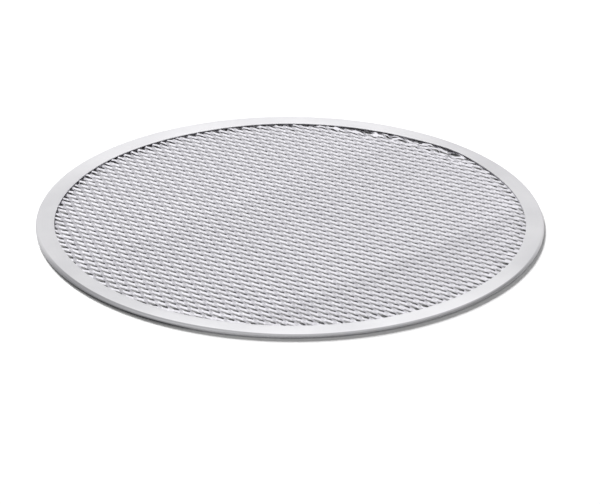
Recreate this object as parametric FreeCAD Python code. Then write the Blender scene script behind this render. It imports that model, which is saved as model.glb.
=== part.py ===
import FreeCAD, Part
import math
import os
from FreeCAD import Vector

# Pizza screen: a disc of expanded aluminium mesh, held all round in a folded rim of sheet aluminium.
# Millimetres. The origin is at the centre of the underside, +Z is up and the screen lies flat.
# Two pieces: the rim, a flat ring folded over the edge of the mesh, and the mesh, one slit and
# stretched sheet. The mesh is one wall. Its strands are ridges round every diamond, at their real
# pitch, and each of its gaps is a block of diamonds, so that the share left open is the real one.

# Rim
screen_diameter = 305.0
rim_sheet = 0.5
top_flange_width = 11.7
bottom_flange_width = 11.2
fold_flat_count = 6         # flats that make up the round outside of the fold

# Mesh
diamond_long_way = 12.2     # between the middles of neighbouring knuckles, the long way
diamond_short_way = 5.8
long_way_angle = -47.4      # direction of the diamonds' long way, from +X
mesh_height = 1.5           # raised strands, from their lowest to their highest edge
pocket_depth = 0.8          # from the strands' upper edge to the wall inside a diamond
groove_depth = 0.4          # between the strands' lower edges
pocket_offset = 0.9         # the strands lean, so each diamond's deepest point is off its middle
strand_width = 1.4
hem_gap = 1.0               # from the edge of the mesh to the inside of the fold
margin_width = 1.0          # flat edge of the mesh outside the last diamonds, at the least
gap_repeat = 4              # diamonds from one gap to the next, each way
gap_diamonds = 3            # diamonds across a gap, each way

rim_height = mesh_height + 2 * rim_sheet
rim_radius = screen_diameter / 2
fold_radius = rim_height / 2
mesh_radius = rim_radius - rim_sheet - hem_gap
field_radius = mesh_radius - margin_width
open_radius = rim_radius - top_flange_width

mesh_bottom = rim_sheet
mesh_top = rim_sheet + mesh_height
pocket_floor = mesh_top - pocket_depth
groove_roof = mesh_bottom + groove_depth

# The sides of the diamonds run half the acute angle either way off the long way. A place in the
# mesh is counted in sides, a along the first of them and b along the second.
half_angle = math.atan2(diamond_short_way, diamond_long_way)
side_length = math.hypot(diamond_long_way, diamond_short_way) / 2
strand_pitch = side_length * math.sin(2 * half_angle)
first_side = math.radians(long_way_angle) + half_angle
second_side = math.radians(long_way_angle) - half_angle
lean = pocket_offset / diamond_short_way
strand_share = strand_width / strand_pitch
lip_height = mesh_top - pocket_depth * strand_share


def place(a, b, z):
    """The point that lies a sides along the first direction and b along the second."""
    x = side_length * (a * math.cos(first_side) + b * math.cos(second_side))
    y = side_length * (a * math.sin(first_side) + b * math.sin(second_side))
    return Vector(x, y, z)


def face(points):
    """A flat face with these corners."""
    return Part.Face(Part.makePolygon(points + points[:1]))


def fold(radius, flats):
    """Half of the rim's fold, bottom to top, as places of radius and height."""
    centre = rim_radius - fold_radius
    turns = [math.pi * k / flats for k in range(flats + 1)]
    return [(centre + radius * math.sin(t), fold_radius - radius * math.cos(t)) for t in turns]


def rim():
    """The folded ring: two flat flanges joined by a round fold, as one revolved section."""
    top_inner = rim_radius - top_flange_width
    bottom_inner = rim_radius - bottom_flange_width
    outside = [(bottom_inner, 0)] + fold(fold_radius, fold_flat_count) + [(top_inner, rim_height)]
    inside_fold = fold(fold_radius - rim_sheet, fold_flat_count // 2)
    lining = [(top_inner, mesh_top)] + inside_fold[::-1] + [(bottom_inner, mesh_bottom)]
    section = face([Vector(r, 0, z) for r, z in outside + lining])
    return section.revolve(Vector(0, 0, 0), Vector(0, 0, 1), 360)


def inside(block, radius):
    """Whether a block of diamonds, from a0, b0 to a1, b1, lies wholly inside a circle."""
    a0, b0, a1, b1 = block
    corners = [place(a, b, 0) for a in (a0, a1) for b in (b0, b1)]
    return all(math.hypot(p.x, p.y) < radius for p in corners)


def find_rows():
    """For each row of diamonds, where the row starts and ends, counted in sides."""
    reach = int(mesh_radius / strand_pitch) + 1
    rows = {}
    for b in range(-reach, reach):
        cells = [a for a in range(-reach, reach) if inside((a, b, a + 1, b + 1), field_radius)]
        if cells:
            rows[b] = (cells[0], cells[-1] + 1)
    return rows


def find_gaps():
    """The blocks of diamonds that are open. At the rim a block keeps what fits inside it."""
    reach = int(mesh_radius / strand_pitch / gap_repeat) + 1
    gaps = []
    for a in range(-reach * gap_repeat, reach * gap_repeat, gap_repeat):
        for b in range(-reach * gap_repeat, reach * gap_repeat, gap_repeat):
            spans = [(i, j) for i in range(gap_diamonds) for j in range(i + 1, gap_diamonds + 1)]
            blocks = [(a + i, b + k, a + j, b + m) for i, j in spans for k, m in spans]
            blocks = [block for block in blocks if inside(block, open_radius)]
            if blocks:
                gaps.append(max(blocks, key=lambda c: (c[2] - c[0]) * (c[3] - c[1])))
    return gaps


def gap_limits(block):
    """The four sides of a gap, each half a strand inside its block on the side that leans in."""
    a0, b0, a1, b1 = block
    narrow = strand_share * (0.5 - lean)
    wide = strand_share * (0.5 + lean)
    return a0 + narrow, b0 + wide, a1 - wide, b1 - narrow


def underside(b):
    """Height of the grooved underside, which is lowest along the rows' edges."""
    return mesh_bottom + groove_depth * (1 - abs(2 * (b - math.floor(b)) - 1))


def pocket(a, b):
    """The upper side of one closed diamond: four slopes down from the ridges round it."""
    corners = [place(*c, mesh_top) for c in ((a, b), (a + 1, b), (a + 1, b + 1), (a, b + 1))]
    floor = place(a + 0.5 - lean, b + 0.5 + lean, pocket_floor)
    return [face([p, q, floor]) for p, q in zip(corners, corners[1:] + corners[:1])]


def gap(block):
    """The strands' slopes round one gap, and its four walls."""
    a0, b0, a1, b1 = block
    low_a, low_b, high_a, high_b = gap_limits(block)
    along_a = list(range(a0, a1 + 1))
    along_b = list(range(b0, b1 + 1))
    slopes = [
        [(a, b0) for a in along_a] + [(high_a, low_b), (low_a, low_b)],
        [(a1, b) for b in along_b] + [(high_a, high_b), (high_a, low_b)],
        [(a, b1) for a in along_a] + [(high_a, high_b), (low_a, high_b)],
        [(a0, b) for b in along_b] + [(low_a, high_b), (low_a, low_b)],
    ]
    faces = []
    for slope in slopes:
        upper = [place(*c, mesh_top) for c in slope[:-2]]
        faces.append(face(upper + [place(*c, lip_height) for c in slope[-2:]]))
    bends = [k / 2 for k in range(2 * b0, 2 * b1 + 1) if low_b < k / 2 < high_b]
    for a in (low_a, high_a):
        lips = [place(a, high_b, lip_height), place(a, low_b, lip_height)]
        faces.append(face([place(a, b, underside(b)) for b in [low_b] + bends + [high_b]] + lips))
    for b in (low_b, high_b):
        lips = [place(high_a, b, lip_height), place(low_a, b, lip_height)]
        faces.append(face([place(low_a, b, underside(b)), place(high_a, b, underside(b))] + lips))
    return faces


def corners_between(rows, b):
    """Where the edge between two rows has a corner of the margin's edge."""
    spans = [rows[k] for k in (b - 1, b) if k in rows]
    low = min(s[0] for s in spans)
    high = max(s[1] for s in spans)
    if len(spans) == 1:
        return list(range(low, high + 1))
    inner_low = max(s[0] for s in spans)
    inner_high = min(s[1] for s in spans)
    return [a for a in range(low, high + 1) if a <= inner_low or a >= inner_high]


def half_groove(rows, gaps, b, edge):
    """One slope of a row's underside, from the row's edge to its middle, cut by the gaps."""
    start, end = rows[b]
    middle = b + 0.5
    corners = corners_between(rows, edge)
    faces = []
    outer, inner = [start], [(start, middle)]

    def close(stop):
        bottom = [outer[0]] + [a for a in corners if outer[0] < a < stop] + [stop]
        points = [place(a, edge, mesh_bottom) for a in bottom]
        points += [place(p, q, underside(q)) for p, q in reversed(inner + [(stop, middle)])]
        faces.append(face(points))

    for block in gaps:
        low_a, low_b, high_a, high_b = gap_limits(block)
        if high_b <= min(edge, middle) or low_b >= max(edge, middle):
            continue
        if low_b <= edge <= high_b:
            close(low_a)
            outer, inner = [high_a], [(high_a, middle)]
        else:
            side = low_b if edge < middle else high_b
            inner += [(low_a, middle), (low_a, side), (high_a, side), (high_a, middle)]
    close(end)
    return faces


def groove(rows, gaps, b):
    """The underside of one row: two slopes that meet along its middle, and the row's ends."""
    slopes = half_groove(rows, gaps, b, b) + half_groove(rows, gaps, b, b + 1)
    ends = [
        face([place(a, b, mesh_bottom), place(a, b + 1, mesh_bottom), place(a, b + 0.5, groove_roof)])
        for a in rows[b]
    ]
    return slopes + ends


def walk(start, end, b):
    """The places from start to end along the edge of a row."""
    step = 1 if end >= start else -1
    return [(a, b) for a in range(start, end + step, step)]


def field_edge(rows):
    """The stepped edge of all the rows, with a corner at every knuckle on it."""
    first, last = min(rows), max(rows)
    corners = []
    end_before = rows[first][0]
    for b in range(first, last + 1):
        corners += walk(end_before, rows[b][1], b)
        end_before = rows[b][1]
    corners += walk(end_before, rows[last][0], last + 1)
    for b in range(last, first, -1):
        corners += walk(rows[b][0], rows[b - 1][0], b)
    return corners


def margin(rows, z):
    """The flat margin of the mesh on one side, from the rows' stepped edge to its round edge."""
    corners = field_edge(rows)
    hole = Part.makePolygon([place(*c, z) for c in corners + corners[:1]])
    circle = Part.Wire(Part.makeCircle(mesh_radius, Vector(0, 0, z)))
    return Part.Face(circle).cut(Part.Face(hole)).Faces


def mesh():
    """The expanded mesh, closed from its upper slopes, its gaps, its underside and its margin."""
    rows = find_rows()
    gaps = sorted(find_gaps())
    open_cells = {(a, b) for a0, b0, a1, b1 in gaps for a in range(a0, a1) for b in range(b0, b1)}
    faces = []
    for b, (start, end) in rows.items():
        faces += groove(rows, gaps, b)
        for a in range(start, end):
            if (a, b) not in open_cells:
                faces += pocket(a, b)
    for block in gaps:
        faces += gap(block)
    faces += margin(rows, mesh_top) + margin(rows, mesh_bottom)
    edge = Part.makeCircle(mesh_radius, Vector(0, 0, mesh_bottom))
    faces.append(edge.extrude(Vector(0, 0, mesh_height)))
    skin = Part.makeCompound(faces)
    skin.sewShape()
    print("gaps", len(gaps))
    body = Part.Solid(skin.Shells[0])
    return body if body.Volume > 0 else body.reversed()


def save(shape, node):
    """Writes one closed solid as its own file."""
    print(node, "solids", len(shape.Solids), "faces", len(shape.Faces), "valid", shape.isValid())
    shape.Solids[0].exportStep("parts/" + node + ".step")


os.makedirs("parts", exist_ok=True)
save(rim(), "rim")
save(mesh(), "mesh")
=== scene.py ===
import math
import bmesh
import bpy
from mathutils import Matrix, Vector, noise


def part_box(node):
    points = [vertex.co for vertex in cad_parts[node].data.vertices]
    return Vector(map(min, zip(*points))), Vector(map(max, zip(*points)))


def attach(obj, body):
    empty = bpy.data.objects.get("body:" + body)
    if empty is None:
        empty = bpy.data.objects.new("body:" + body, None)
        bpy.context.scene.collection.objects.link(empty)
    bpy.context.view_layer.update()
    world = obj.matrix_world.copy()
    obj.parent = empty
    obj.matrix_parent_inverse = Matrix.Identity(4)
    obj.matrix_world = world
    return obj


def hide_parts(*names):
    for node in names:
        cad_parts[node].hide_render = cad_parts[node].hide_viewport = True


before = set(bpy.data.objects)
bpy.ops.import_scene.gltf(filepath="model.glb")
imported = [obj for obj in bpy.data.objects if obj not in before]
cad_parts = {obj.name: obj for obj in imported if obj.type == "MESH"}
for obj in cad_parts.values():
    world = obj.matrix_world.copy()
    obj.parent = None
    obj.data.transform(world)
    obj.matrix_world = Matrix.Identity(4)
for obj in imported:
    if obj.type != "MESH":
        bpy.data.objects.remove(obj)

mm = 0.001
touching = 0.001 * mm    # points that are nearer than this are one point


def clearScene():
    for name in ("Cube", "Light", "Camera"):
        found = bpy.data.objects.get(name)
        if found:
            bpy.data.objects.remove(found, do_unlink=True)


clearScene()
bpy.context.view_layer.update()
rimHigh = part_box("rim")[1]
outerRadius = rimHigh[0]
rimTop = rimHigh[2]
print("frame loaded, outer radius", round(outerRadius, 5))


def addObject(name, data):
    made = bpy.data.objects.new(name, data)
    bpy.context.scene.collection.objects.link(made)
    return made


# Small helpers for node trees. A value is a number, a tuple or another node's socket.
def newSocket(tree, name, kind, direction="INPUT"):
    tree.interface.new_socket(name=name, in_out=direction, socket_type=kind)


def setInputs(tree, node, inputs):
    for key, value in inputs.items():
        if isinstance(value, bpy.types.NodeSocket):
            tree.links.new(value, node.inputs[key])
        else:
            node.inputs[key].default_value = value


def addNode(tree, kind, inputs=None, **settings):
    made = tree.nodes.new(kind)
    for key, value in settings.items():
        setattr(made, key, value)
    setInputs(tree, made, inputs or {})
    return made


def mathNode(tree, operation, first, second):
    return addNode(tree, "ShaderNodeMath", {0: first, 1: second}, operation=operation).outputs[0]


def vectorMath(tree, operation, *inputs, output="Vector"):
    made = addNode(tree, "ShaderNodeVectorMath", dict(enumerate(inputs)), operation=operation)
    return made.outputs[output]


def lengthOf(tree, vector):
    return vectorMath(tree, "LENGTH", vector, output="Value")


def dotProduct(tree, first, second):
    return vectorMath(tree, "DOT_PRODUCT", first, second, output="Value")


def scaleVector(tree, vector, factor):
    return addNode(tree, "ShaderNodeVectorMath", {0: vector, "Scale": factor}, operation="SCALE").outputs[0]


def combineXYZ(tree, x=0.0, y=0.0, z=0.0):
    return addNode(tree, "ShaderNodeCombineXYZ", {0: x, 1: y, 2: z}).outputs[0]


def separateXYZ(tree, vector):
    return addNode(tree, "ShaderNodeSeparateXYZ", {0: vector}).outputs


def rangeNode(tree, value, start, stop, low=0.0, high=1.0, kind="LINEAR"):
    inputs = {"Value": value, "From Min": start, "From Max": stop, "To Min": low, "To Max": high}
    return addNode(tree, "ShaderNodeMapRange", inputs, interpolation_type=kind).outputs[0]


def smoothRange(tree, value, start, stop):
    return rangeNode(tree, value, start, stop, kind="SMOOTHSTEP")


def mixValue(tree, factor, first, second):
    inputs = {"Factor": factor, 2: first, 3: second}        # 2 and 3 are the node's two numbers
    return addNode(tree, "ShaderNodeMix", inputs, data_type="FLOAT").outputs[0]


def mixColour(tree, factor, first, second):
    first, second = (c if isinstance(c, bpy.types.NodeSocket) else (*c, 1) for c in (first, second))
    inputs = {"Factor": factor, 6: first, 7: second}        # 6 and 7 are its two colours
    return addNode(tree, "ShaderNodeMix", inputs, data_type="RGBA").outputs[2]


def noiseNode(tree, vector, scale, detail, output=0):
    inputs = {"Vector": vector, "Scale": scale, "Detail": detail}
    return addNode(tree, "ShaderNodeTexNoise", inputs).outputs[output]


def bumpNode(tree, height, distance):
    return addNode(tree, "ShaderNodeBump", {"Height": height, "Distance": distance}).outputs[0]


def newMaterial(name):
    material = bpy.data.materials.new(name)
    material.use_nodes = True
    return material, material.node_tree, material.node_tree.nodes["Principled BSDF"]


# Camera, as in the photograph: a long lens, looking down a little from the front
cameraSet = {
    "lens": 171.8,                     # mm
    "sensor": 36.0,                    # mm
    "distance": 11.301,                # in outer radii, from the middle of the resting plane
    "elevation": 25.52,                # degrees
    "roll": -0.215,
    "aimRight": 10.06,                 # how far the picture's middle is from the screen's middle,
    "aimDown": 31.35,                  # in pixels of the photograph
    "focalPixels": 2863.0,
    "clip": (0.05, 50.0),              # nearest and farthest that it sees, in metres
}


def buildCamera(values):
    data = bpy.data.cameras.new("camera")
    data.lens = values["lens"]
    data.sensor_width = values["sensor"]
    data.clip_start, data.clip_end = values["clip"]
    camera = addObject("camera", data)
    up = math.radians(values["elevation"])
    reach = values["distance"] * outerRadius
    place = Vector((0, -math.cos(up), math.sin(up))) * reach
    look = Matrix.Rotation(math.pi / 2 - up, 4, "X")
    turnRight = math.atan2(values["aimRight"], values["focalPixels"])
    turnDown = math.atan2(values["aimDown"], values["focalPixels"])
    fine = Matrix.Rotation(-turnRight, 4, "Y") @ Matrix.Rotation(-turnDown, 4, "X")
    rolled = Matrix.Rotation(math.radians(-values["roll"]), 4, "Z")
    camera.matrix_world = Matrix.Translation(place) @ look @ fine @ rolled
    bpy.context.scene.camera = camera


buildCamera(cameraSet)
print("camera set")


# Fine grain that follows the ring, from the rolls that folded it
def buildRingGrain():
    tree = bpy.data.node_groups.new("ringGrain", "ShaderNodeTree")
    for name in ("Lines", "Wander", "Mottle Scale"):
        newSocket(tree, name, "NodeSocketFloat")
    for name in ("Grain", "Mottle", "Radius", "Height"):
        newSocket(tree, name, "NodeSocketFloat", "OUTPUT")
    newSocket(tree, "Way", "NodeSocketVector", "OUTPUT")
    given = addNode(tree, "NodeGroupInput").outputs
    leave = addNode(tree, "NodeGroupOutput")
    coords = addNode(tree, "ShaderNodeTexCoord").outputs["Object"]
    x, y, z = separateXYZ(tree, coords)
    flat = combineXYZ(tree, x, y)
    radius = lengthOf(tree, flat)
    way = vectorMath(tree, "NORMALIZE", flat)
    depth = mathNode(tree, "MULTIPLY", mathNode(tree, "ADD", radius, z), given["Lines"])
    around = scaleVector(tree, way, given["Wander"])
    spot = vectorMath(tree, "ADD", around, combineXYZ(tree, z=depth))
    setInputs(tree, leave, {
        "Grain": noiseNode(tree, spot, scale=1.0, detail=3.0),
        "Mottle": noiseNode(tree, coords, given["Mottle Scale"], detail=4.0),
        "Radius": radius,
        "Height": z,
        "Way": way,
    })
    return tree


rimFinish = {
    "dull": (0.81, 0.805, 0.83),
    "bright": (0.89, 0.885, 0.905),
    "mottleScale": 22.0,
    "mottleEdge": (0.35, 0.65),        # from the noise's value that is dull to the one that is bright
    "roughLow": 0.36,
    "roughHigh": 0.48,
    "grainLines": 2600.0,              # across a metre of the sheet
    "grainWander": 5.0,
    "grainEdge": (0.3, 0.7),           # from the noise's value that is smooth to the one that is rough
    "grainHeight": 0.012 * mm,
    "grainTurn": 0.22,                 # the grain runs a little askew of the ring
    "anisotropy": 0.75,
    "fold": (0.40, 0.40, 0.415),       # painted shade: the front of the fold is darkened to stand for its shade and the dark it mirrors
    "foldLowLessShade": (0.80, 0.80, 0.82),     # and less painted shade below, so the floor the fold mirrors shows lighter
    "foldLeftPaintedShade": (0.38, 0.38, 0.395),   # on the left the painted shade is a little darker, and darkest below: a painted contact shadow at the fold's foot
    "foldLowLeftPaintedShadow": (0.20, 0.20, 0.21),
    "foldShadeEdge": (150.6 * mm, 151.5 * mm),   # the radius where that painted shade begins and is full
    "lowShadeEdge": (1.9 * mm, 0.9 * mm),   # the height where that lighter lower part begins and is full
    "foldShadeWider": 1.1 * mm,             # at the front left the painted shade reaches further in by this much
    "frontAt": (0.0, -1.0, 0.0),       # only the front has the painted shade
    "frontEdge": (0.15, 0.60),
    "leftAt": (-0.766, -0.643, 0.0),
    "leftEdge": (0.82, 0.95),
    "widerAt": (-0.62, -0.785, 0.0),
    "widerEdge": (0.75, 0.98),
}


def buildRimMaterial(values):
    material, tree, shader = newMaterial("rolledAluminium")
    sizes = {
        "Lines": values["grainLines"],
        "Wander": values["grainWander"],
        "Mottle Scale": values["mottleScale"],
    }
    grain = addNode(tree, "ShaderNodeGroup", sizes, node_tree=buildRingGrain()).outputs

    def facing(side):
        return smoothRange(tree, dotProduct(tree, grain["Way"], values[side + "At"]), *values[side + "Edge"])

    patches = rangeNode(tree, grain["Mottle"], *values["mottleEdge"])
    colour = mixColour(tree, patches, values["dull"], values["bright"])
    # painted shade on the front of the fold: lighter below, and darker at the left, darkest at its foot
    wider = mathNode(tree, "MULTIPLY", facing("wider"), values["foldShadeWider"])
    foldShadeMask = smoothRange(tree, mathNode(tree, "ADD", grain["Radius"], wider), *values["foldShadeEdge"])
    foldShadeMask = mathNode(tree, "MULTIPLY", foldShadeMask, facing("front"))
    left = facing("left")
    high = mixColour(tree, left, values["fold"], values["foldLeftPaintedShade"])
    low = mixColour(tree, left, values["foldLowLessShade"], values["foldLowLeftPaintedShadow"])
    below = smoothRange(tree, grain["Height"], *values["lowShadeEdge"])
    foldShadeColour = mixColour(tree, below, high, low)
    rough = rangeNode(tree, grain["Grain"], *values["grainEdge"], values["roughLow"], values["roughHigh"])
    setInputs(tree, shader, {
        "Base Color": mixColour(tree, foldShadeMask, colour, foldShadeColour),
        "Roughness": rough,
        "Normal": bumpNode(tree, grain["Grain"], values["grainHeight"]),
        "Metallic": 1.0,
        "Anisotropic": values["anisotropy"],
        "Anisotropic Rotation": values["grainTurn"],
    })
    return material


meshFinish = {
    "dull": (0.66, 0.65, 0.69),
    "bright": (0.76, 0.75, 0.79),
    "patchScale": 260.0,
    "roughLow": 0.26,
    "roughHigh": 0.38,
    "grainScale": 1800.0,
    "grainHeight": 0.01 * mm,
    "noiseEdge": (0.3, 0.7),           # from the noise's value that is dull or smooth to the other
    "tone": 1.07,                      # broad bands of painted shade and light lie across the sheet, as its slow waves turn it from and towards the light:
    "shadeBands": [                         # mm from, mm to, change of tone
        (-41, -35, -0.045),
        (80, 90, -0.085),
        (94, 102, 0.025),
    ],
    "shadeFade": (-110, 125, -0.07),        # and painted shade, a little darker the other way
}


def buildMeshMaterial(values, angle):
    material, tree, shader = newMaterial("slitAluminium")
    coords = addNode(tree, "ShaderNodeTexCoord").outputs["Object"]
    patches = noiseNode(tree, coords, values["patchScale"], detail=3.0)
    patches = rangeNode(tree, patches, *values["noiseEdge"])
    colour = mixColour(tree, patches, values["dull"], values["bright"])
    along = dotProduct(tree, coords, (math.cos(angle), math.sin(angle), 0))
    across = dotProduct(tree, coords, (-math.sin(angle), math.cos(angle), 0))
    # painted shade and light: broad bands along the long way, and a painted fade across it
    steps = [(along, *band) for band in values["shadeBands"]]
    steps.append((across, *values["shadeFade"]))
    tone = values["tone"]
    for place, start, stop, change in steps:
        step = mathNode(tree, "MULTIPLY", smoothRange(tree, place, start * mm, stop * mm), change)
        tone = mathNode(tree, "ADD", step, tone)
    grain = noiseNode(tree, coords, values["grainScale"], detail=2.0)
    setInputs(tree, shader, {
        "Base Color": scaleVector(tree, colour, tone),
        "Roughness": rangeNode(tree, grain, *values["noiseEdge"], values["roughLow"], values["roughHigh"]),
        "Normal": bumpNode(tree, grain, values["grainHeight"]),
        "Metallic": 1.0,
    })
    return material


# Expanded mesh: one knuckle with the strands that leave it, repeated on the lattice
meshSet = {
    "longWay": 12.2 * mm,
    "shortWay": 5.8 * mm,
    "longWayAngle": math.radians(-47.4),
    "strandWidth": 1.25 * mm,
    "sheet": 0.50 * mm,
    "tilt": math.radians(30.0),        # the strands stand on edge by this much, far side high
    "knuckleHalf": 1.8 * mm,           # half the length over which two strands are one
    "ease": 0.3,                       # 0 for straight strands, 1 for strands that leave the knuckle softly
    "segments": 5,
    "fieldRadius": 154.0 * mm,
    "cutRadius": 150.0 * mm,           # the disc's own edge, inside the fold
    "weld": 0.02 * mm,
    "pressFrom": 135.0 * mm,           # where the hem starts to press the mesh flat
    "pressTo": 140.8 * mm,
    "pressedHalf": 0.60 * mm,          # half its height inside the hem
    "hemDrop": 0.05 * mm,              # the hem holds the mesh nearer its lower flange
    "lowest": 0.12 * mm,               # no strand reaches lower
    "wave": 0.16 * mm,                 # the disc isn't quite flat
    "waveScale": 14.0,
    "wander": 0.10 * mm,               # the strands aren't quite regular,
    "wanderScale": 95.0,
    "edgeWander": 1.5,                 # and near the hem so many times more is added
    "nearHem": (126.0 * mm, 139.5 * mm),    # the radius where that begins and is full
    "crumple": 1.8 * mm,               # where folding the hem crumpled the mesh
    "crumpleScale": 150.0,
    "crumpleLeast": 0.35,              # the share of it all round
    "crumpleAt": (math.cos(math.radians(56)), math.sin(math.radians(56)), 0.0),
    "crumpleEdge": (0.87, 0.965),      # how far towards that side it begins and is full
    "crumpleRest": (0.5, 0.5, 0.75),   # the noise's value that moves nothing: it bends more down than up
    "crumpleShare": (3.0, 3.0, 1.2),
    "sharpFrom": math.radians(40),
}

noiseMiddle = (0.5, 0.5, 0.5)          # noise runs half a step either way of this
sideways = (2.0, 2.0, 0.0)             # makes that a whole step, and keeps it level

latticeSizes = {                       # the tree's inputs, and the names of their values above
    "Long Way": "longWay",
    "Short Way": "shortWay",
    "Angle": "longWayAngle",
    "Field Radius": "fieldRadius",
    "Cut Radius": "cutRadius",
    "Weld": "weld",
    "Press From": "pressFrom",
    "Press To": "pressTo",
    "Pressed Half": "pressedHalf",
    "Hem Drop": "hemDrop",
    "Wave": "wave",
    "Wave Scale": "waveScale",
    "Wander": "wander",
    "Wander Scale": "wanderScale",
    "Edge Wander": "edgeWander",
    "Crumple": "crumple",
    "Crumple Scale": "crumpleScale",
    "Crumple Least": "crumpleLeast",
}

rimMaterial = buildRimMaterial(rimFinish)
meshMaterial = buildMeshMaterial(meshFinish, meshSet["longWayAngle"])
print("materials made")


def buildKnuckle(values):
    length, pitch = values["longWay"] / 2, values["shortWay"] / 2
    width, sheet, half = values["strandWidth"], values["sheet"], values["knuckleHalf"]
    across = Vector((0, math.cos(values["tilt"]), math.sin(values["tilt"])))
    through = Vector((0, -math.sin(values["tilt"]), math.cos(values["tilt"])))
    form = bmesh.new()
    heart = form.verts.layers.float_vector.new("sectionMiddle")

    def section(x, middle):
        centre = Vector((x, 0, 0)) + middle
        ring = []
        for a, c in ((-1, -1), (1, -1), (1, 1), (-1, 1)):
            vert = form.verts.new(centre + across * (width / 2 * a) + through * (sheet / 2 * c))
            vert[heart] = (x, 0, 0) if abs(x) <= half else centre
            ring.append(vert)
        return ring

    def bridge(first, second, sides=range(4)):
        for k in sides:
            m = (k + 1) % 4
            form.faces.new((first[k], first[m], second[m], second[k]))

    for side, shared in ((1, 3), (-1, 1)):          # in the knuckle one side is shared, and has no face
        start = across * (width / 2 * side)
        end = Vector((0, pitch * side, 0)) - start
        bridge(section(-half, start), section(half, start), [k for k in range(4) if k != shared])
        before = None
        for k in range(values["segments"] + 1):
            t = k / values["segments"]
            ease = t + (t * t * (3 - 2 * t) - t) * values["ease"]
            here = section(half + (length - 2 * half) * t, start.lerp(end, ease))
            if before:
                bridge(before, here)
            before = here
    bmesh.ops.remove_doubles(form, verts=form.verts, dist=touching)
    bmesh.ops.reverse_faces(form, faces=form.faces)
    mesh = bpy.data.meshes.new("knuckle")
    form.to_mesh(mesh)
    form.free()
    return mesh


def positionNow(tree):
    return addNode(tree, "GeometryNodeInputPosition").outputs[0]


def turnedBy(tree, vector, angle):
    inputs = {"Vector": vector, "Angle": angle}
    return addNode(tree, "ShaderNodeVectorRotate", inputs, rotation_type="Z_AXIS").outputs[0]


def deleteBeyond(tree, geometry, distance, limit):
    beyond = addNode(tree, "FunctionNodeCompare", {0: distance, 1: limit}, operation="GREATER_THAN")
    inputs = {"Geometry": geometry, "Selection": beyond.outputs[0]}
    return addNode(tree, "GeometryNodeDeleteGeometry", inputs, domain="POINT").outputs[0]


def setPosition(tree, geometry, position):
    inputs = {"Geometry": geometry, "Position": position}
    return addNode(tree, "GeometryNodeSetPosition", inputs).outputs[0]


# A square grid, skewed and turned into the lattice. Each knuckle remembers where it stands as "home".
def layKnuckles(tree, given, values):
    count = 2 * int(values["fieldRadius"] / (values["shortWay"] / 2)) + 1
    side = float(count - 1)
    inputs = {"Size X": side, "Size Y": side, "Vertices X": count, "Vertices Y": count}
    grid = addNode(tree, "GeometryNodeMeshGrid", inputs).outputs[0]
    x, y = separateXYZ(tree, positionNow(tree))[:2]
    halfLong = mathNode(tree, "MULTIPLY", given["Long Way"], 0.5)
    halfShort = mathNode(tree, "MULTIPLY", given["Short Way"], 0.5)
    long = mathNode(tree, "MULTIPLY", mathNode(tree, "ADD", x, y), halfLong)
    short = mathNode(tree, "MULTIPLY", mathNode(tree, "SUBTRACT", x, y), halfShort)
    placed = setPosition(tree, grid, turnedBy(tree, combineXYZ(tree, long, short), given["Angle"]))
    kept = deleteBeyond(tree, placed, lengthOf(tree, positionNow(tree)), given["Field Radius"])
    inputs = {"Geometry": kept, "Name": "home", "Value": positionNow(tree)}
    home = addNode(tree, "GeometryNodeStoreNamedAttribute", inputs, data_type="FLOAT_VECTOR")
    unit = addNode(tree, "GeometryNodeObjectInfo", {"Object": given["Knuckle"]})
    copies = addNode(tree, "GeometryNodeInstanceOnPoints", {
        "Points": home.outputs[0],
        "Instance": unit.outputs["Geometry"],
        "Rotation": combineXYZ(tree, z=given["Angle"]),
    })
    return addNode(tree, "GeometryNodeRealizeInstances", {0: copies.outputs[0]}).outputs[0]


# The disc is cut round: every section whose middle lies outside the cut goes
def cutRound(tree, given, strands):
    sectionMiddle, home = (
        addNode(tree, "GeometryNodeInputNamedAttribute", {"Name": name}, data_type="FLOAT_VECTOR").outputs[0]
        for name in ("sectionMiddle", "home")
    )
    middle = vectorMath(tree, "ADD", turnedBy(tree, sectionMiddle, given["Angle"]), home)
    trimmed = deleteBeyond(tree, strands, lengthOf(tree, middle), given["Cut Radius"])
    inputs = {"Geometry": trimmed, "Distance": given["Weld"]}
    return addNode(tree, "GeometryNodeMergeByDistance", inputs).outputs[0]


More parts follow.
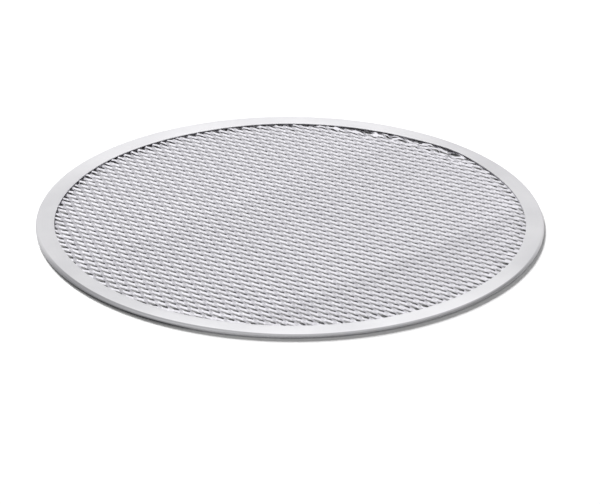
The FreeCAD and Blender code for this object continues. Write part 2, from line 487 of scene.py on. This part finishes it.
# The hem that presses the edge flat, the disc's slow waves, the strands' wandering and the crumpled edge
def shapeStrands(tree, given, values, strands):
    x, y, z = separateXYZ(tree, positionNow(tree))
    flat = combineXYZ(tree, x, y)
    radius = lengthOf(tree, flat)
    inHem = smoothRange(tree, radius, given["Press From"], given["Press To"])
    nearHem = smoothRange(tree, radius, *values["nearHem"])

    squeeze = mathNode(tree, "DIVIDE", given["Pressed Half"], given["Free Half"])
    squeezed = rangeNode(tree, inHem, 0.0, 1.0, low=1.0, high=squeeze)
    pressed = mathNode(tree, "MULTIPLY", z, squeezed)
    wave = noiseNode(tree, flat, given["Wave Scale"], detail=1.0)
    wave = mathNode(tree, "SUBTRACT", wave, noiseMiddle[0])
    wave = mathNode(tree, "MULTIPLY", wave, mathNode(tree, "MULTIPLY", given["Wave"], sideways[0]))
    wave = mathNode(tree, "MULTIPLY", wave, mathNode(tree, "SUBTRACT", 1.0, inHem))
    height = mathNode(tree, "ADD", mathNode(tree, "ADD", pressed, wave), given["Middle Height"])
    height = mathNode(tree, "SUBTRACT", height, mathNode(tree, "MULTIPLY", inHem, given["Hem Drop"]))

    more = mathNode(tree, "MULTIPLY", nearHem, given["Edge Wander"])
    reach = mathNode(tree, "MULTIPLY", given["Wander"], mathNode(tree, "ADD", 1.0, more))
    wander = noiseNode(tree, flat, given["Wander Scale"], detail=1.0, output="Color")
    wander = scaleVector(tree, vectorMath(tree, "SUBTRACT", wander, noiseMiddle), reach)
    wander = vectorMath(tree, "MULTIPLY", wander, sideways)

    aim = dotProduct(tree, vectorMath(tree, "NORMALIZE", flat), given["Crumple At"])
    share = mathNode(tree, "MAXIMUM", smoothRange(tree, aim, *values["crumpleEdge"]), given["Crumple Least"])
    reach = mathNode(tree, "MULTIPLY", mathNode(tree, "MULTIPLY", nearHem, share), given["Crumple"])
    bent = noiseNode(tree, flat, given["Crumple Scale"], detail=0.0, output="Color")
    bent = scaleVector(tree, vectorMath(tree, "SUBTRACT", bent, values["crumpleRest"]), reach)
    bent = vectorMath(tree, "MULTIPLY", bent, values["crumpleShare"])

    moved = vectorMath(tree, "ADD", combineXYZ(tree, x, y, height), vectorMath(tree, "ADD", wander, bent))
    moved = vectorMath(tree, "MAXIMUM", moved, (-1.0, -1.0, values["lowest"]))
    return setPosition(tree, strands, moved)


def buildLatticeTree(values):
    tree = bpy.data.node_groups.new("expandedMesh", "GeometryNodeTree")
    newSocket(tree, "Geometry", "NodeSocketGeometry", "OUTPUT")
    newSocket(tree, "Knuckle", "NodeSocketObject")
    newSocket(tree, "Material", "NodeSocketMaterial")
    newSocket(tree, "Crumple At", "NodeSocketVector")
    for name in (*latticeSizes, "Free Half", "Middle Height"):
        newSocket(tree, name, "NodeSocketFloat")
    given = addNode(tree, "NodeGroupInput").outputs
    leave = addNode(tree, "NodeGroupOutput")
    strands = cutRound(tree, given, layKnuckles(tree, given, values))
    formed = shapeStrands(tree, given, values, strands)
    painted = addNode(tree, "GeometryNodeSetMaterial", {"Geometry": formed, "Material": given["Material"]})
    setInputs(tree, leave, {0: painted.outputs[0]})
    return tree


def closeAndTurnOut(mesh):
    form = bmesh.new()
    form.from_mesh(mesh)
    bmesh.ops.delete(form, geom=[edge for edge in form.edges if edge.is_wire], context="EDGES")
    bmesh.ops.delete(form, geom=[vert for vert in form.verts if not vert.link_faces], context="VERTS")
    bmesh.ops.holes_fill(form, edges=[edge for edge in form.edges if edge.is_boundary], sides=0)
    bmesh.ops.recalc_face_normals(form, faces=form.faces)
    print("volume, cubic mm:", round(form.calc_volume() / mm ** 3, 1))
    print("edges not shared by two faces:", sum(not edge.is_manifold for edge in form.edges))
    form.to_mesh(mesh)
    form.free()


def buildExpandedMesh(values):
    unit = addObject("knuckle", buildKnuckle(values))
    holder = addObject("meshHolder", bpy.data.meshes.new("meshHolder"))
    modifier = holder.modifiers.new("expanded", "NODES")
    modifier.node_group = buildLatticeTree(values)
    tilt = values["tilt"]
    wanted = {name: values[key] for name, key in latticeSizes.items()}
    wanted["Knuckle"] = unit
    wanted["Material"] = meshMaterial
    wanted["Crumple At"] = values["crumpleAt"]
    wanted["Free Half"] = values["strandWidth"] * math.sin(tilt) + values["sheet"] / 2 * math.cos(tilt)
    wanted["Middle Height"] = rimTop / 2
    for item in modifier.node_group.interface.items_tree:
        if item.in_out == "INPUT":
            modifier[item.identifier] = wanted[item.name]
    evaluated = holder.evaluated_get(bpy.context.evaluated_depsgraph_get())
    mesh = bpy.data.meshes.new_from_object(evaluated)
    mesh.name = "expandedMesh"
    bpy.data.objects.remove(holder, do_unlink=True)
    bpy.data.objects.remove(unit, do_unlink=True)
    closeAndTurnOut(mesh)
    for name in ("sectionMiddle", "home"):
        mesh.attributes.remove(mesh.attributes[name])
    mesh.shade_smooth()
    mesh.set_sharp_from_angle(angle=values["sharpFrom"])
    print("expanded mesh:", sum(len(face.vertices) - 2 for face in mesh.polygons), "triangles")
    return addObject("expandedMesh", mesh)


meshPiece = buildExpandedMesh(meshSet)
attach(meshPiece, "root")
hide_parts("mesh")


# Rim: the same folded section as the frame's, finely divided, with the slight waves of a rolled hem
rimSet = {
    "topFlange": 11.7 * mm,
    "bottomFlange": 11.2 * mm,
    "sheet": 0.5 * mm,
    "edge": 0.12 * mm,                 # the sheet's own soft edge at each flange's free end
    "edgeSteps": 3,
    "foldSteps": 14,
    "innerFoldSteps": 6,
    "rows": 6,                         # over each flange
    "around": 480,
    "lipWave": 0.06 * mm,              # in and out, along the flange's free end
    "lipScale": 3.1,
    "lipSeed": (4.7, 0, 0),
    "lipOut": (                        # mm, every 30 degrees from +X
        0.8, 0.8, 0.2, 0.0, -1.3, 0.0,
        0.7, -0.5, -0.1, -0.1, 0.4, 0.9,
    ),
    "lipNick": (44.0, 9.0, 2.0),       # where the flange was trimmed short: degrees, half width, mm
    "faceWave": 0.05 * mm,             # up and down, along the flange's face
    "faceScale": 5.3,
    "faceSeed": (0, 9.1, 0),
    "dish": 0.10 * mm,                 # the flange falls a little towards the mesh
    "shoulder": 3.5 * mm,              # over which the flange already bends down, outside
    "shoulderDrop": 0.14 * mm,
    "softSide": (232.0, 34.0, 0.15),   # where it drops more: degrees, half width, mm
    "sharpFrom": math.radians(50),
}


# The section, as points of radius and height: lower flange, fold, upper flange, and back inside the sheet
def rimSection(values):
    fold = rimTop / 2
    centre = outerRadius - fold
    sheet, edge = values["sheet"], values["edge"]
    inner = fold - sheet
    topEnd = outerRadius - values["topFlange"]
    bottomEnd = outerRadius - values["bottomFlange"]
    rows, steps = values["rows"], values["foldSteps"]
    innerSteps, edgeSteps = values["innerFoldSteps"], values["edgeSteps"]
    points = []
    for k in range(rows + 1):
        points.append((bottomEnd + edge + (centre - bottomEnd - edge) * (k / rows), 0.0))
    for k in range(1, steps):
        turn = math.pi * k / steps
        points.append((centre + fold * math.sin(turn), fold - fold * math.cos(turn)))
    for k in range(rows + 1):
        points.append((centre + (topEnd + edge - centre) * (k / rows), rimTop))
    for k in range(1, edgeSteps + 1):
        turn = math.pi / 2 * k / edgeSteps
        points.append((topEnd + edge - edge * math.sin(turn), rimTop - edge + edge * math.cos(turn)))
    points.append((topEnd, rimTop - sheet))
    points.append((centre, rimTop - sheet))
    for k in range(1, innerSteps):
        turn = math.pi * (1 - k / innerSteps)
        points.append((centre + inner * math.sin(turn), fold - inner * math.cos(turn)))
    points.append((centre, sheet))
    points.append((bottomEnd, sheet))
    for k in range(edgeSteps):
        turn = math.pi / 2 * k / edgeSteps
        points.append((bottomEnd + edge - edge * math.cos(turn), edge - edge * math.sin(turn)))
    return points


# A soft bump in a value round the ring: where, in degrees, half its width, in degrees, and its height, in mm
def swell(angle, at, half, height):
    away = ((math.degrees(angle) - at + 180) % 360 - 180) / half
    return height * mm * math.exp(-away * away)


def lipOffset(values, angle):
    steps = values["lipOut"]
    spot = angle / (2 * math.pi) * len(steps)
    first = int(spot)
    t = spot - first
    t = t * t * (3 - 2 * t)
    here, there = (steps[(first + k) % len(steps)] for k in (0, 1))
    return (here + (there - here) * t) * mm + swell(angle, *values["lipNick"])


def buildRim(values):
    section = rimSection(values)
    around = values["around"]
    topEnd = outerRadius - values["topFlange"]
    centre = outerRadius - rimTop / 2
    form = bmesh.new()
    rings = []
    for k in range(around):
        angle = 2 * math.pi * k / around
        way = Vector((math.cos(angle), math.sin(angle), 0))
        lip = noise.noise(way * values["lipScale"] + Vector(values["lipSeed"])) * values["lipWave"]
        lip += lipOffset(values, angle)
        face = noise.noise(way * values["faceScale"] + Vector(values["faceSeed"])) * values["faceWave"]
        drop = values["shoulderDrop"] + swell(angle, *values["softSide"])
        ring = []
        for radius, height in section:
            inward = max(0.0, (centre - radius) / (centre - topEnd))
            sag = 0.0
            if height > rimTop / 2:
                sag = -inward * (values["dish"] + face + values["faceWave"])
                bend = max(0.0, (radius - centre) / values["shoulder"] + 1)
                sag -= drop * min(bend, 1.0) ** 2 * (height / rimTop * 2 - 1)
            place = way * (radius + lip * inward ** 2) + Vector((0, 0, height + sag))
            ring.append(form.verts.new(place))
        rings.append(ring)
    for first, second in zip(rings, rings[1:] + rings[:1]):
        for k in range(len(section)):
            m = (k + 1) % len(section)
            form.faces.new((first[k], second[k], second[m], first[m]))
    bmesh.ops.recalc_face_normals(form, faces=form.faces)
    mesh = bpy.data.meshes.new("foldedRim")
    form.to_mesh(mesh)
    form.free()
    mesh.materials.append(rimMaterial)
    mesh.shade_smooth()
    mesh.set_sharp_from_angle(angle=values["sharpFrom"])
    print("rim:", 2 * len(mesh.polygons), "triangles")
    return addObject("foldedRim", mesh)


rimPiece = buildRim(rimSet)
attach(rimPiece, "root")
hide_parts("rim")


# Floor and light
studioSet = {
    "floorSize": 6.0,
    "floorColour": 0.80,
    "floorMirrored": 0.80,             # the metal mirrors it as it is, in the shade of the screen
    "floorSeen": 1.20,                 # the open floor shows as clean white,
    "floorFar": 2.60,                  # also where it lies far from the lamp
    "farEdge": (0.45, 1.20),
    "shadeSeen": 0.30,                 # the floor under the mesh, in the shade
    "shadeRadius": 0.146,
    "overhead": 1.46,                  # the studio's brightness by direction: the soft box overhead,
    "overheadAt": (0.0, -0.06, 0.998),
    "overheadEdge": (0.44, 0.80),
    "overheadDip": 0.25,               # less bright straight above,
    "dipEdge": (0.90, 0.985),
    "around": 0.50,                    # the walls behind and beside,
    "camera": 0.48,                    # the wall on the camera's side,
    "wallEdge": (-0.20, 0.10),
    "backdrop": 0.32,                  # and the lit backdrop, on top of the wall behind
    "backdropAt": (0.0, 0.93, 0.37),
    "backdropEdge": (0.70, 0.98),
    "fill": 0.21,                      # what all of it gives the matt floor
    "keyFrom": (106.0, 26.5),          # degrees round from +X, degrees up
    "keyReach": 5.0,
    "keySize": 1.25,
    "keyPower": 430.0,
}


def buildFloor(values):
    mesh = bpy.data.meshes.new("floor")
    half = values["floorSize"] / 2
    corners = [(-half, -half, 0), (half, -half, 0), (half, half, 0), (-half, half, 0)]
    mesh.from_pydata(corners, [], [(0, 1, 2, 3)])
    material, tree, shader = newMaterial("paperFloor")
    tree.nodes.remove(shader)
    path = addNode(tree, "ShaderNodeLightPath").outputs
    distance = lengthOf(tree, addNode(tree, "ShaderNodeTexCoord").outputs["Object"])
    shaded = mathNode(tree, "LESS_THAN", distance, values["shadeRadius"])
    far = rangeNode(tree, distance, *values["farEdge"])
    bare = mixValue(tree, far, values["floorSeen"], values["floorFar"])
    seen = mixValue(tree, shaded, bare, values["shadeSeen"])
    tone = mixValue(tree, path["Is Glossy Ray"], values["floorColour"], values["floorMirrored"])
    tone = mixValue(tree, path["Is Camera Ray"], tone, seen)
    grey = addNode(tree, "ShaderNodeCombineColor", {0: tone, 1: tone, 2: tone}).outputs[0]
    paper = addNode(tree, "ShaderNodeBsdfDiffuse", {"Color": grey}).outputs[0]
    setInputs(tree, tree.nodes["Material Output"], {0: paper})
    mesh.materials.append(material)
    floor = addObject("floor", mesh)


def buildWorld(values):
    world = bpy.data.worlds.new("studio")
    bpy.context.scene.world = world
    world.use_nodes = True
    tree = world.node_tree
    way = addNode(tree, "ShaderNodeTexCoord").outputs["Generated"]
    back = smoothRange(tree, separateXYZ(tree, way)["Y"], *values["wallEdge"])
    walls = mixValue(tree, back, values["camera"], values["around"])
    above = dotProduct(tree, way, values["overheadAt"])
    box = mathNode(tree, "MULTIPLY", smoothRange(tree, above, *values["overheadEdge"]), values["overhead"])
    dip = mathNode(tree, "MULTIPLY", smoothRange(tree, above, *values["dipEdge"]), values["overheadDip"])
    box = mathNode(tree, "MULTIPLY", box, mathNode(tree, "SUBTRACT", 1.0, dip))
    behind = dotProduct(tree, way, values["backdropAt"])
    glow = mathNode(tree, "MULTIPLY", smoothRange(tree, behind, *values["backdropEdge"]), values["backdrop"])
    studio = mathNode(tree, "ADD", mathNode(tree, "MAXIMUM", walls, box), glow)
    path = addNode(tree, "ShaderNodeLightPath").outputs
    filled = mixValue(tree, path["Is Diffuse Ray"], studio, values["fill"])
    strength = mixValue(tree, path["Is Camera Ray"], filled, 1.0)
    setInputs(tree, tree.nodes["Background"], {"Color": (1, 1, 1, 1), "Strength": strength})


def addKey(values):
    turn, rise = (math.radians(a) for a in values["keyFrom"])
    way = Vector((math.cos(turn) * math.cos(rise), math.sin(turn) * math.cos(rise), math.sin(rise)))
    data = bpy.data.lights.new("key", "AREA")
    data.size = values["keySize"]
    data.energy = values["keyPower"]
    light = addObject("key", data)
    light.location = way * values["keyReach"]
    light.rotation_euler = (-way).to_track_quat("-Z", "Y").to_euler()
    light.visible_glossy = False       # the metal mirrors the studio, not the lamp


buildFloor(studioSet)
buildWorld(studioSet)
addKey(studioSet)
print("studio set")

bpy.context.scene.view_settings.view_transform = "Standard"
